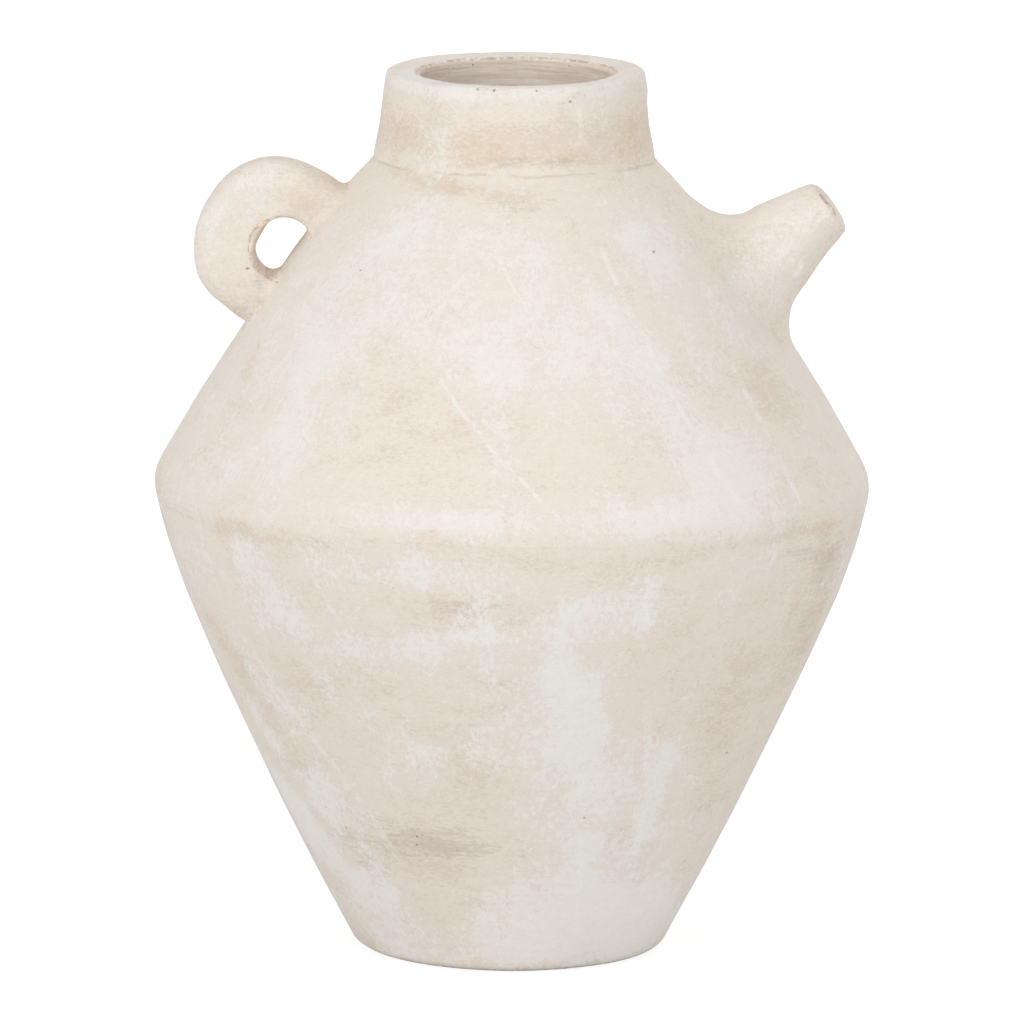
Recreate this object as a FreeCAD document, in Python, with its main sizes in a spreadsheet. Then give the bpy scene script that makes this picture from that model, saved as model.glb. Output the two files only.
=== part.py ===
"""Spouted two-cone jar with a collar neck and one loop handle, built from its clay pieces.

The jar stands on z = 0 with its turning axis on Z. The spout points along +X and the
handle stands on the -X side. All lengths are millimetres of fired clay.
"""

import FreeCAD, Part
import os
import re
import Sketcher

Vector = FreeCAD.Vector
TOUCHING = 1e-4

# Driving sizes. Every profile point is the outside of the wall before its edges are rounded.
SIZES = {
    # foot and lower cone, up to the hip, where the wall begins to stand steeper
    "foot_radius": 53.5,
    "foot_rounding": 5.0,
    "lower_spread": 56.5,
    "hip_height": 118.0,
    "lower_bulge": 1.0,
    "floor_thickness": 12.0,
    # the widest line, where the two cones are luted mouth to mouth
    "flank_spread": 14.2,
    "flank_rise": 46.3,
    "flank_bulge": 1.35,
    "belly_rounding": 12.0,
    "seam_drop": 3.3,
    "seam_bevel": 3.0,
    # domed shoulder, with the level at which handle and spout are seated
    "shoulder_rise": 110.2,
    "shoulder_bulge": 4.0,
    "seat_drop": 35.5,
    "wall_thickness": 10.0,
    # neck collar
    "neck_radius": 48.5,
    "collar_rise": 30.5,
    "collar_taper": 3.9,
    "collar_hollow": 0.5,
    "rim_width": 11.1,
    "rim_rounding": 2.2,
    "mouth_rounding": 2.5,
    "throat_flare": 2.5,
    "throat_lip": 4.0,
    # coils pressed into the inside corners
    "floor_coil_radius": 9.0,
    "floor_coil_sink": 2.5,
    "belly_coil_radius": 13.0,
    "belly_coil_thickness": 4.5,
    # scored seats in the shoulder
    "scoring_depth": 3.0,
    "scoring_margin": 2.5,
    # loop handle, measured from its seat on the shoulder
    "handle_radius": 29.0,
    "handle_width": 28.0,
    "handle_rise": 1.0,
    "handle_stand": 6.2,
    "handle_rounding": 6.0,
    "handle_fillet": 4.0,
    "finger_radius": 11.2,
    "finger_rise": 2.7,
    "finger_stand": 5.6,
    "finger_rounding": 3.0,
    "finger_strip": 5.6,
    # spout, measured along its own axis from its seat on the shoulder
    "spout_angle": 37.0,
    "spout_drop": 3.1,
    "spout_length": 36.5,
    "spout_root_radius": 19.3,
    "spout_tip_radius": 9.85,
    "spout_fillet": 19.0,
    "spout_tip_rounding": 1.5,
    "bore_root_radius": 9.0,
    "bore_tip_radius": 3.1,
    # how far a cutting form runs past what it cuts
    "overrun": 6.0,
}

# Sizes that follow from the driving ones.
FOLLOWING = {
    "hip_radius": "foot_radius + lower_spread",
    "belly_radius": "hip_radius + flank_spread",
    "belly_height": "hip_height + flank_rise",
    "seam_height": "belly_height - seam_drop",
    "neck_height": "belly_height + shoulder_rise",
    "seat_height": "neck_height - seat_drop",
    "rim_height": "neck_height + collar_rise",
    "rim_radius": "neck_radius - collar_taper",
    "mouth_radius": "rim_radius - rim_width",
    "throat_radius": "mouth_radius + throat_flare",
    "lower_slope": "lower_spread / hip_height",
    "flank_slope": "flank_spread / flank_rise",
    "shoulder_slope": "(belly_radius - neck_radius) / shoulder_rise",
    "shoulder_run": "sqrt(1 + shoulder_slope ^ 2)",
    "seat_share": "(seat_height - belly_height) / shoulder_rise",
    "seat_dome": "4 * shoulder_bulge * shoulder_run",
    "seat_slope": "shoulder_slope + seat_dome * (2 * seat_share - 1) / shoulder_rise",
    "seat_lift": "seat_dome * seat_share * (1 - seat_share)",
    "seat_radius": "belly_radius - shoulder_slope * (seat_height - belly_height) + seat_lift",
    "lower_run": "sqrt(1 + lower_slope ^ 2)",
    "hip_run": "sqrt(1 + ((lower_slope + flank_slope) / 2) ^ 2)",
    "belly_run": "(sqrt(1 + flank_slope ^ 2) + shoulder_run) / 2",
    "seat_run": "sqrt(1 + seat_slope ^ 2)",
    "floor_inner_radius": "foot_radius + lower_slope * floor_thickness - wall_thickness * lower_run",
    "hip_inner_radius": "hip_radius - wall_thickness * hip_run",
    "belly_inner_radius": "belly_radius - wall_thickness * belly_run",
    "throat_height": "neck_height - throat_lip",
    "belly_scored_radius": "belly_radius - scoring_depth * belly_run",
    "neck_scored_radius": "neck_radius - scoring_depth * shoulder_run",
    "bowl_reach": "belly_radius + overrun",
    "seam_inner_radius": "belly_inner_radius - overrun",
    "seam_inner_height": "seam_height - seam_bevel",
    "floor_coil_ring": "floor_inner_radius + floor_coil_sink",
    "floor_coil_height": "floor_thickness - floor_coil_sink",
    "belly_coil_ring": "belly_inner_radius - belly_coil_thickness + belly_coil_radius",
    "spout_taper": "(spout_root_radius - spout_tip_radius) / spout_length",
    "spout_tilt": "90 - spout_angle",
    "spout_seat_x": "seat_radius + spout_drop * seat_slope / seat_run",
    "spout_seat_z": "seat_height - spout_drop / seat_run",
    "spout_bottom": "0 - wall_thickness - scoring_margin - overrun",
    "spout_top": "spout_length + overrun",
    "spout_bottom_radius": "spout_root_radius - spout_taper * spout_bottom",
    "spout_foot_reach": "spout_fillet * (sqrt(1 + spout_taper ^ 2) - spout_taper)",
    "spout_scored_radius": "spout_root_radius + spout_foot_reach + scoring_margin",
    "bore_taper": "(bore_root_radius - bore_tip_radius) / spout_length",
    "bore_bottom_radius": "bore_root_radius - bore_taper * spout_bottom",
    "bore_top_radius": "bore_root_radius - bore_taper * spout_top",
    "handle_tilt": "90 - atan(seat_slope) / 1 deg",
    "handle_seat_x": "0 - seat_radius",
    "handle_reach": "handle_radius + handle_fillet + scoring_margin",
    "handle_seat_low": "handle_rise - handle_reach",
    "handle_seat_high": "handle_rise + handle_reach",
    "handle_seat_width": "handle_width + 2 * (handle_fillet + scoring_margin)",
    "handle_seat_sag": "handle_seat_width ^ 2 / (8 * neck_radius)",
    "handle_bottom": "0 - scoring_depth - handle_seat_sag - overrun",
    "handle_top": "handle_stand + handle_radius + overrun",
    "finger_low": "finger_rise - finger_strip",
    "finger_high": "finger_rise + finger_strip",
}

doc = FreeCAD.newDocument("SpoutedJar")


# The sheet of sizes

def fill_sheet():
    sheet = doc.addObject("Spreadsheet::Sheet", "Sizes")
    cells = [(name, str(value)) for name, value in SIZES.items()]
    cells += [(name, "=" + formula) for name, formula in FOLLOWING.items()]
    for row, (name, content) in enumerate(cells, start=1):
        sheet.set(f"A{row}", name)
        sheet.set(f"B{row}", content)
        sheet.setAlias(f"B{row}", name)
    doc.recompute()
    return sheet


sheet = fill_sheet()


def size(name):
    """The present value of a size; None stands for a place on the axis."""
    return float(sheet.get(name)) if name else 0.0


def bind(item, path, formula):
    """Tie a property to the sheet. The formula uses the sheet's bare names."""
    known = SIZES.keys() | FOLLOWING.keys()
    words = re.sub(r"[a-z_]+", lambda m: f"Sizes.{m[0]}" if m[0] in known else m[0], formula)
    item.setExpression(path, words)


# Drawing and shaping

def new_body(label):
    body = doc.addObject("PartDesign::Body", label)
    body.Label = label
    return body


def new_sketch(body, name, role):
    """A sketch on one of the body's upright planes, where up is its Z."""
    sketch = body.newObject("Sketcher::SketchObject", name)
    plane = next(p for p in body.Origin.OriginFeatures if p.Role == role)
    sketch.AttachmentSupport = [(plane, "")]
    sketch.MapMode = "FlatFace"
    return sketch


def pin_point(sketch, line, end, across, up):
    """Hold one end of a line at two sizes; None holds it on that axis."""
    for kind, axis, name in (("DistanceX", -2, across), ("DistanceY", -1, up)):
        if name is None:
            sketch.addConstraint(Sketcher.Constraint("PointOnObject", line, end, axis))
        else:
            pin = Sketcher.Constraint(kind, -1, 1, line, end, size(name))
            bind(sketch, f"Constraints[{sketch.addConstraint(pin)}]", name)


def draw_edge(sketch, here, there, bulge):
    """Draw a line or an arc. Returns it with the numbers of its first and last end."""
    if bulge is None:
        return sketch.addGeometry(Part.LineSegment(here, there)), 1, 2
    chord = there - here
    outward = Vector(chord.y, -chord.x, 0).normalize()
    middle = (here + there) / 2
    depth = size(bulge.lstrip("-"))
    if bulge.startswith("-"):
        return sketch.addGeometry(Part.Arc(there, middle - outward * depth, here)), 2, 1
    return sketch.addGeometry(Part.Arc(here, middle + outward * depth, there)), 1, 2


def draw_outline(sketch, corners):
    """Draw a closed outline, anticlockwise.

    Each corner is (size across, size up, bulge of the edge that leaves it or None).
    A bulge with a minus sign hollows its edge.
    """
    places = [Vector(size(across), size(up), 0) for across, up, _ in corners]
    followers = corners[1:] + corners[:1]
    far_places = places[1:] + places[:1]
    edges = []
    for here, there, (_, _, bulge) in zip(places, far_places, corners):
        edges.append(draw_edge(sketch, here, there, bulge))
    for (line, _, last), (after, first, _) in zip(edges, edges[1:] + edges[:1]):
        sketch.addConstraint(Sketcher.Constraint("Coincident", line, last, after, first))
    for (line, first, _), (across, up, _) in zip(edges, corners):
        pin_point(sketch, line, first, across, up)
    for (line, _, _), (across, up, bulge), (far_across, far_up, _) in zip(edges, corners, followers):
        if bulge is None:
            continue
        depth = bulge.lstrip("-")
        span = f"(({far_across or 0} - {across or 0})^2 + ({far_up or 0} - {up or 0})^2)"
        curve = Sketcher.Constraint("Radius", line, sketch.Geometry[line].Radius)
        held = sketch.addConstraint(curve)
        bind(sketch, f"Constraints[{held}]", f"({span} / 4 + {depth}^2) / (2 * {depth})")


def turned_body(label, corners):
    """A body turned on the wheel, from an outline beside its axis.

    The outline stands in the YZ plane, so that no seam runs under the spout or the handle.
    """
    body = new_body(label)
    sketch = new_sketch(body, label + "_outline", "YZ_Plane")
    draw_outline(sketch, corners)
    turning = body.newObject("PartDesign::Revolution", label + "_turning")
    turning.Profile = sketch
    turning.ReferenceAxis = (sketch, ["V_Axis"])
    turning.Angle = 360
    body.Tip = turning
    doc.recompute()
    return body


def cut_slab(body, sketch, thickness):
    """Thicken a sketch to both sides alike, as clay is rolled to an even slab."""
    pad = body.newObject("PartDesign::Pad", sketch.Name + "_slab")
    pad.Profile = sketch
    pad.SideType = "Symmetric"
    bind(pad, "Length", thickness)
    body.Tip = pad
    doc.recompute()


def round_edges(body, name, edge_radius, rounding, height=None):
    """Round the circular edges of one radius, at one height where it is given."""
    base = body.Tip
    edges = []
    for number, edge in enumerate(base.Shape.Edges, start=1):
        curve = edge.Curve
        if curve.TypeId != "Part::GeomCircle" or abs(curve.Radius - size(edge_radius)) > TOUCHING:
            continue
        if height is None or abs(curve.Center.z - height) < TOUCHING:
            edges.append(f"Edge{number}")
    fillet = body.newObject("PartDesign::Fillet", name)
    fillet.Base = (base, edges)
    bind(fillet, "Radius", rounding)
    body.Tip = fillet
    doc.recompute()


def joined(kind, label, base, tool):
    """A Part boolean of two objects: Cut, Common or Fuse."""
    result = doc.addObject("Part::" + kind, label)
    result.Label = label
    result.Base = base
    result.Tool = tool
    doc.recompute()
    return result


def carve(label, base, tool):
    """A cut that has to take some clay away."""
    result = joined("Cut", label, base, tool)
    if result.Shape.Volume > base.Shape.Volume - TOUCHING:
        raise RuntimeError(f"{tool.Label} takes nothing from {base.Label}")
    return result


def grow_from(label, wall, branch, fillet_radius):
    """Join a branch to the wall and smear a fillet all along the line where they meet."""
    form = joined("Fuse", label + "_form", wall, branch)
    skins = [item.Shape.Solids[0].Shells[0] for item in (wall, branch)]
    edges = []
    for number, edge in enumerate(form.Shape.Edges, start=1):
        points = [Part.Vertex(point) for point in edge.discretize(5)]
        if all(skin.distToShape(point)[0] < TOUCHING for skin in skins for point in points):
            edges.append((number, size(fillet_radius), size(fillet_radius)))
    smear = doc.addObject("Part::Fillet", label + "_smear")
    smear.Base = form
    smear.Edges = edges
    doc.recompute()
    return smear


# The jar's outside and inside as two turned forms, and the wall between them

outer_form = turned_body("outer_form", [
    (None, None, None),
    ("foot_radius", None, "lower_bulge"),
    ("hip_radius", "hip_height", "flank_bulge"),
    ("belly_radius", "belly_height", "shoulder_bulge"),
    ("neck_radius", "neck_height", None),
    (None, "neck_height", None),
])
round_edges(outer_form, "belly_edge", "belly_radius", "belly_rounding")
round_edges(outer_form, "foot_edge", "foot_radius", "foot_rounding")

hollow_form = turned_body("hollow_form", [
    (None, "floor_thickness", None),
    ("floor_inner_radius", "floor_thickness", "lower_bulge"),
    ("hip_inner_radius", "hip_height", "flank_bulge"),
    ("belly_inner_radius", "belly_height", "shoulder_bulge"),
    ("throat_radius", "throat_height", None),
    ("throat_radius", "neck_height", None),
    (None, "neck_height", None),
])

jar_wall = carve("jar_wall", outer_form, hollow_form)

# The shoulder's surface under the scored seats
scored_form = turned_body("scored_form", [
    (None, "belly_height", None),
    ("belly_scored_radius", "belly_height", "shoulder_bulge"),
    ("neck_scored_radius", "neck_height", None),
    (None, "neck_height", None),
])

# Everything below the bevelled seam at the widest line
bowl_form = turned_body("bowl_form", [
    (None, None, None),
    ("bowl_reach", None, None),
    ("bowl_reach", "seam_height", None),
    ("seam_inner_radius", "seam_inner_height", None),
    (None, "seam_inner_height", None),
])


# Floor slab and the lower wall that stands on its rim

slab_form = doc.addObject("Part::Cylinder", "slab_form")
bind(slab_form, "Radius", "bowl_reach")
bind(slab_form, "Height", "floor_thickness")
floor_slab = joined("Common", "floor_slab", jar_wall, slab_form)

bowl = joined("Common", "bowl", jar_wall, bowl_form)
lower_wall = carve("lower_wall", bowl, slab_form)


# Coils pressed flat into the inside corners, above the floor and over the belly seam

def pressed_coil(label, ring, thickness, height):
    coil = doc.addObject("Part::Torus", label + "_form")
    bind(coil, "Radius1", ring)
    bind(coil, "Radius2", thickness)
    bind(coil, "Placement.Base.z", height)
    doc.recompute()
    return joined("Common", label, hollow_form, coil)


floor_seam_coil = pressed_coil(
    "floor_seam_coil", "floor_coil_ring", "floor_coil_radius", "floor_coil_height")
belly_seam_coil = pressed_coil(
    "belly_seam_coil", "belly_coil_ring", "belly_coil_radius", "belly_height")


# Neck collar: a thick ring with a flat rim, standing on the shoulder's cut top

neck_collar = turned_body("neck_collar", [
    ("throat_radius", "neck_height", None),
    ("neck_radius", "neck_height", "-collar_hollow"),
    ("rim_radius", "rim_height", None),
    ("mouth_radius", "rim_height", None),
])
round_edges(neck_collar, "rim_edge", "rim_radius", "rim_rounding")
round_edges(neck_collar, "mouth_edge", "mouth_radius", "mouth_rounding")


# Spout: a hollow cone whose flared foot is let into a scored seat in the shoulder

def stand_on_seat(body, turn_axis, tilt, seat_x, seat_z):
    """Lean a body, drawn upright on its origin, out from its seat on the shoulder."""
    body.Placement = FreeCAD.Placement(Vector(), FreeCAD.Rotation(turn_axis, size(tilt)))
    bind(body, "Placement.Rotation.Angle", tilt)
    bind(body, "Placement.Base.x", seat_x)
    bind(body, "Placement.Base.z", seat_z)
    doc.recompute()


def spout_form(label, bottom_radius, top_radius, top):
    form = turned_body(label, [
        (None, "spout_bottom", None),
        (bottom_radius, "spout_bottom", None),
        (top_radius, top, None),
        (None, top, None),
    ])
    stand_on_seat(form, Vector(0, 1, 0), "spout_tilt", "spout_seat_x", "spout_seat_z")
    return form


spout_cone = spout_form("spout_cone", "spout_bottom_radius", "spout_tip_radius", "spout_length")
round_edges(spout_cone, "spout_tip_edge", "spout_tip_radius", "spout_tip_rounding")
spout_field = spout_form("spout_field", "spout_scored_radius", "spout_scored_radius", "spout_top")
spout_bore = spout_form("spout_bore", "bore_bottom_radius", "bore_top_radius", "spout_top")

spout_smear = grow_from("spout", outer_form, spout_cone, "spout_fillet")
spout_whole = joined("Common", "spout_whole", spout_smear, spout_field)
spout_seated = carve("spout_seated", spout_whole, scored_form)
spout = carve("spout", spout_seated, spout_bore)
spout_seat = carve("spout_seat", spout_field, scored_form)


# Handle: a flat loop with a finger hole, its two feet let into scored seats

handle_loop = new_body("handle_loop")
loop_sketch = new_sketch(handle_loop, "loop_outline", "XZ_Plane")
for radius, rise, stand in (("handle_radius", "handle_rise", "handle_stand"),
                            ("finger_radius", "finger_rise", "finger_stand")):
    centre = Vector(size(rise), size(stand), 0)
    ring = loop_sketch.addGeometry(Part.Circle(centre, Vector(0, 0, 1), size(radius)))
    pin_point(loop_sketch, ring, 3, rise, stand)
    held = loop_sketch.addConstraint(Sketcher.Constraint("Radius", ring, size(radius)))
    bind(loop_sketch, f"Constraints[{held}]", radius)
cut_slab(handle_loop, loop_sketch, "handle_width")
round_edges(handle_loop, "loop_edge", "handle_radius", "handle_rounding")
round_edges(handle_loop, "finger_edge", "finger_radius", "finger_rounding")

# An arch that holds the loop and its two seats, and leaves the finger gap out
handle_field = new_body("handle_field")
field_sketch = new_sketch(handle_field, "field_outline", "XZ_Plane")
draw_outline(field_sketch, [
    ("handle_seat_low", "handle_bottom", None),
    ("finger_low", "handle_bottom", None),
    ("finger_low", "finger_stand", None),
    ("finger_high", "finger_stand", None),
    ("finger_high", "handle_bottom", None),
    ("handle_seat_high", "handle_bottom", None),
    ("handle_seat_high", "handle_top", None),
    ("handle_seat_low", "handle_top", None),
])
cut_slab(handle_field, field_sketch, "handle_seat_width")

for form in (handle_loop, handle_field):
    stand_on_seat(form, Vector(0, -1, 0), "handle_tilt", "handle_seat_x", "seat_height")

handle_smear = grow_from("handle", outer_form, handle_loop, "handle_fillet")
handle_whole = joined("Common", "handle_whole", handle_smear, handle_field)
handle = carve("handle", handle_whole, scored_form)
handle_seats = carve("handle_seats", handle_field, scored_form)


# Shoulder wall: the dome above the seam, with its seats and the hole behind the spout

dome = carve("dome", jar_wall, bowl_form)
dome_with_spout_seat = carve("dome_with_spout_seat", dome, spout_seat)
dome_with_seats = carve("dome_with_seats", dome_with_spout_seat, handle_seats)
shoulder_wall = carve("shoulder_wall", dome_with_seats, spout_bore)


# Check every object, then write one file for each clay piece

PIECES = [floor_slab, lower_wall, floor_seam_coil, shoulder_wall, belly_seam_coil,
          neck_collar, handle, spout]

doc.recompute()
for item in doc.Objects:
    if {"Invalid", "Error"} & set(item.State):
        raise RuntimeError(f"{item.Label} failed: {item.State}")
for piece in PIECES:
    shape = piece.Shape
    if shape.isNull() or not shape.isValid() or len(shape.Solids) != 1:
        raise RuntimeError(f"{piece.Label} isn't one valid solid")

os.makedirs("parts", exist_ok=True)
for piece in PIECES:
    piece.Shape.exportStep(f"parts/{piece.Label}.step")
    print(f"{piece.Label}: {piece.Shape.Volume / 1000:.1f} cm3")
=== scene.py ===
import math

import bmesh
import bpy
import numpy as np
from mathutils import Matrix, Quaternion, Vector, noise
from mathutils.bvhtree import BVHTree


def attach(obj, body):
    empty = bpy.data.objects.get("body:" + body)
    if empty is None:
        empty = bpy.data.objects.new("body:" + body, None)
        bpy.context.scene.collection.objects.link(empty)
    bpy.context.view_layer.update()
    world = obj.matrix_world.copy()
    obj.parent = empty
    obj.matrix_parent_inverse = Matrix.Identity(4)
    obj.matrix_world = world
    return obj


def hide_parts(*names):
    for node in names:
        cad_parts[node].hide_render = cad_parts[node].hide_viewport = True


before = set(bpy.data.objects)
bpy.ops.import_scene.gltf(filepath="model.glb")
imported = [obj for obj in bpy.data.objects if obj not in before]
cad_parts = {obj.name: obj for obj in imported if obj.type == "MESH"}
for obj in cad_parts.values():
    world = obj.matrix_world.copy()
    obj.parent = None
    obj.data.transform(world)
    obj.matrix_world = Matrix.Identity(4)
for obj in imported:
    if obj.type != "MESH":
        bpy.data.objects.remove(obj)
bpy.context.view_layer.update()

# ---------------------------------------------------------------------------------------------
# Camera, table top and studio light
# A long lens a little above the jar, a pale matt table top and four big soft lamps, the strongest
# in front on the left. The table shows white, and keeps the jar's soft shadow.

CAMERA_REACH = 3.3                        # metres from the jar
CAMERA_RISE = math.radians(9.577)         # how far the camera looks down
CAMERA_ROLL = math.radians(0.48)
AIM = Vector((-0.00005, 0.0, 0.15095))

back_off = Vector((0.0, -math.cos(CAMERA_RISE), math.sin(CAMERA_RISE)))
lens = bpy.data.cameras.new("camera")
lens.lens, lens.sensor_width, lens.clip_end = 335.5, 36.0, 60.0
camera = bpy.data.objects.new("camera", lens)
bpy.context.scene.collection.objects.link(camera)
camera.location = AIM + back_off * CAMERA_REACH
camera.rotation_mode = "QUATERNION"
camera.rotation_quaternion = (-back_off).to_track_quat("-Z", "Y") @ Quaternion((0, 0, 1), CAMERA_ROLL)
bpy.context.scene.camera = camera
bpy.context.scene.view_settings.view_transform = "Standard"


def soft_lamp(name, place, width, height, power):
    """A soft box that points at the middle of the jar"""
    light = bpy.data.lights.new(name, "AREA")
    light.shape, light.size, light.size_y, light.energy = "RECTANGLE", width, height, power
    lamp = bpy.data.objects.new(name, light)
    bpy.context.scene.collection.objects.link(lamp)
    lamp.location = place
    lamp.rotation_euler = (Vector((0, 0, 0.15)) - Vector(place)).to_track_quat("-Z", "Y").to_euler()


soft_lamp("key_lamp", (-2.0, -2.2, 1.5), 2.2, 2.2, 38.0)
soft_lamp("fill_lamp", (1.9, -2.1, 1.0), 2.0, 2.0, 21.0)
soft_lamp("top_lamp", (-0.2, 0.2, 2.4), 2.4, 2.4, 3.0)
soft_lamp("back_lamp", (1.0, 2.6, 1.8), 2.0, 2.0, 18.0)


def put(tree, kind, inputs=None, **settings):
    """A node with its settings, whose inputs are values or other nodes' outputs"""
    made = tree.nodes.new(kind)
    for key, value in settings.items():
        setattr(made, key, value)
    for key, value in (inputs or {}).items():
        if isinstance(value, bpy.types.NodeSocket):
            tree.links.new(value, made.inputs[key])
        else:
            made.inputs[key].default_value = value
    return made


def reckon(tree, operation, *values):
    """One step of arithmetic, as a Math node's output"""
    return put(tree, "ShaderNodeMath", dict(enumerate(values)), operation=operation).outputs[0]


def plus(tree, total, *more):
    """The sum of two or more values"""
    for value in more:
        total = reckon(tree, "ADD", total, value)
    return total


def minus(tree, whole, part):
    """What is left of one value without another"""
    return reckon(tree, "SUBTRACT", whole, part)


def times(tree, value, factor):
    """One value times another"""
    return reckon(tree, "MULTIPLY", value, factor)


def from_axis(tree, across, deep):
    """How far a place is from the upright axis"""
    return reckon(tree, "SQRT", plus(tree, times(tree, across, across), times(tree, deep, deep)))


def ease(tree, value, low, high, to_low=0.0, to_high=1.0):
    """A soft step from to_low to to_high as value goes from low to high"""
    return put(tree, "ShaderNodeMapRange", {"Value": value, "From Min": low, "From Max": high,
                                            "To Min": to_low, "To Max": to_high},
               interpolation_type="SMOOTHSTEP").outputs["Result"]


def paint_over(tree, below, above, mask):
    """One colour over another where mask is 1"""
    mix = put(tree, "ShaderNodeMix", data_type="RGBA")
    for socket, value in ((mix.inputs[0], mask), (mix.inputs[6], below), (mix.inputs[7], above)):
        if isinstance(value, bpy.types.NodeSocket):
            tree.links.new(value, socket)
        else:
            socket.default_value = value
    return mix.outputs[2]


def tone(red, green, blue):
    """A colour as it shows on a screen, 0 to 255, as the linear colour that nodes take"""
    linear = [c / 12.92 if c <= 0.04045 else ((c + 0.055) / 1.055) ** 2.4 for c in (red / 255, green / 255, blue / 255)]
    return (*linear, 1.0)


world = bpy.data.worlds.new("studio")
bpy.context.scene.world = world
world.use_nodes = True
sky = world.node_tree
sky.nodes.clear()
SKY_LIGHT = 0.59                          # the white world is 1 to the camera, and this as a light
sees = put(sky, "ShaderNodeLightPath").outputs
seen = reckon(sky, "MAXIMUM", sees["Is Camera Ray"], sees["Is Glossy Ray"])
seen = reckon(sky, "MAXIMUM", seen, sees["Is Transmission Ray"])
strength = plus(sky, times(sky, seen, 1 - SKY_LIGHT), SKY_LIGHT)
glow = put(sky, "ShaderNodeBackground", {"Color": (1, 1, 1, 1), "Strength": strength})
put(sky, "ShaderNodeOutputWorld", {"Surface": glow.outputs[0]})

table_sheet = bmesh.new()
bmesh.ops.create_grid(table_sheet, x_segments=1, y_segments=1, size=20)
table_mesh = bpy.data.meshes.new("table_top")
table_sheet.to_mesh(table_mesh)
table_top = bpy.data.objects.new("table_top", table_mesh)
bpy.context.scene.collection.objects.link(table_top)
table_white = bpy.data.materials.new("table_white")
table_white.use_nodes = True
tree = table_white.node_tree
tree.nodes.clear()
sees = put(tree, "ShaderNodeLightPath").outputs
across, deep, _ = put(tree, "ShaderNodeSeparateXYZ", {0: put(tree, "ShaderNodeTexCoord").outputs["Object"]}).outputs
away = from_axis(tree, across, deep)
matt = put(tree, "ShaderNodeBsdfDiffuse", {"Color": (0.8, 0.8, 0.8, 1)})
faint = put(tree, "ShaderNodeBsdfDiffuse", {"Color": (0.2, 0.2, 0.2, 1)})
lift = put(tree, "ShaderNodeEmission", {"Color": (1, 1, 1, 1), "Strength": ease(tree, away, 0.12, 0.5, 0.86, 1.0)})
shown = put(tree, "ShaderNodeAddShader", {0: faint.outputs[0], 1: lift.outputs[0]})
choice = put(tree, "ShaderNodeMixShader", {0: sees["Is Camera Ray"], 1: matt.outputs[0], 2: shown.outputs[0]})
put(tree, "ShaderNodeOutputMaterial", {"Surface": choice.outputs[0]})
table_mesh.materials.append(table_white)

# ---------------------------------------------------------------------------------------------
# Floor slab
# The round slab of coarse clay that the jar stands on. It is rolled flat and cut with a bevelled
# edge, and the first wall is luted to it. Only its edge shows, under the same wash as the wall.

# Sizes are in millimetres here and in the sections that follow: (distance from the axis, height)
FLOOR_THICKNESS = 12.0
SLAB_OUTLINE = [(0, 0), (53.5, 0), (56.6, 6), (59.7, FLOOR_THICKNESS), (0, FLOOR_THICKNESS)]
TURNS, SECTORS = 480, 20                  # facets round the jar


def section_of(corners, step, roundings=(), eased=None):
    """A closed outline in the upright plane, from its corners.

    Roundings gives (corner number, how far the cut starts from it, facets). Edges are divided to
    step, and the points between the two heights of eased are smoothed into one line."""
    shape = bmesh.new()
    around = [shape.verts.new((out, 0, up)) for out, up in corners]
    shape.faces.new(around)
    for number, cut, facets in roundings:
        bmesh.ops.bevel(shape, geom=[around[number]], offset=cut, offset_type="OFFSET", affect="VERTICES",
                        segments=facets, profile=0.5, material=-1)
    for edge in [e for e in shape.edges if e.calc_length() > 1.4 * step]:
        bmesh.ops.subdivide_edges(shape, edges=[edge], cuts=round(edge.calc_length() / step) - 1)
    bmesh.ops.delete(shape, geom=shape.faces[:], context="FACES_ONLY")
    if eased:
        soft = [v for v in shape.verts if eased[0] < v.co.z < eased[1]]
        for _ in range(4):
            bmesh.ops.smooth_vert(shape, verts=soft, factor=0.5, use_axis_x=True, use_axis_z=True)
    return shape


def turned(shape, steps=TURNS):
    """Spins an outline round the upright axis into a closed shell: one sector, then its copies"""
    bmesh.ops.spin(shape, geom=shape.verts[:] + shape.edges[:], cent=(0, 0, 0), axis=(0, 0, 1), dvec=(0, 0, 0),
                   angle=math.tau / SECTORS, steps=steps // SECTORS)
    bmesh.ops.spin(shape, geom=shape.verts[:] + shape.edges[:] + shape.faces[:], cent=(0, 0, 0), axis=(0, 0, 1),
                   dvec=(0, 0, 0), angle=math.tau * (1 - 1 / SECTORS), steps=SECTORS - 1, use_duplicate=True)
    bmesh.ops.remove_doubles(shape, verts=shape.verts[:], dist=0.001)
    bmesh.ops.recalc_face_normals(shape, faces=shape.faces[:])
    return shape


# Small accidents of the hand: (x, y, z), how far it reaches and how far it stands out
ACCIDENTS = [
    # chips and crumbs on the rim, the belly and the back
    ((45.2, -3, 299), 3.0, 0.5), ((44, -12, 303), 3.5, 0.3), ((22, -39, 304.5), 3.2, 0.35),
    ((-14, -43, 303.5), 2.0, -0.5), ((-20, -40, 304), 1.6, -0.4), ((-24.6, 37, 304.5), 2.0, -0.5),
    ((12, 43, 304), 2.2, -0.45), ((-114.2, -4, 127.5), 2.4, -0.6), ((60, 103, 143), 3.0, -0.5),
    ((-40, 68, 77), 4.0, -0.5), ((31, 90, 203), 4.0, 0.4),
    # flats where a hand or a board pressed the wet wall
    ((52, 0, 281), 30.0, -0.85), ((114, -20, 192), 32.0, -0.45), ((122, 0, 166), 20.0, -0.5),
    # the foot, out at the front and worn at its corners
    ((0, -54, 2), 26.0, 0.8), ((51, -14, 2), 15.0, -0.5), ((-50, -16, 2), 13.0, -0.6),
    ((59, -6, 14), 16.0, -0.4), ((26, -47, 4), 5.0, -0.5)]


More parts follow.
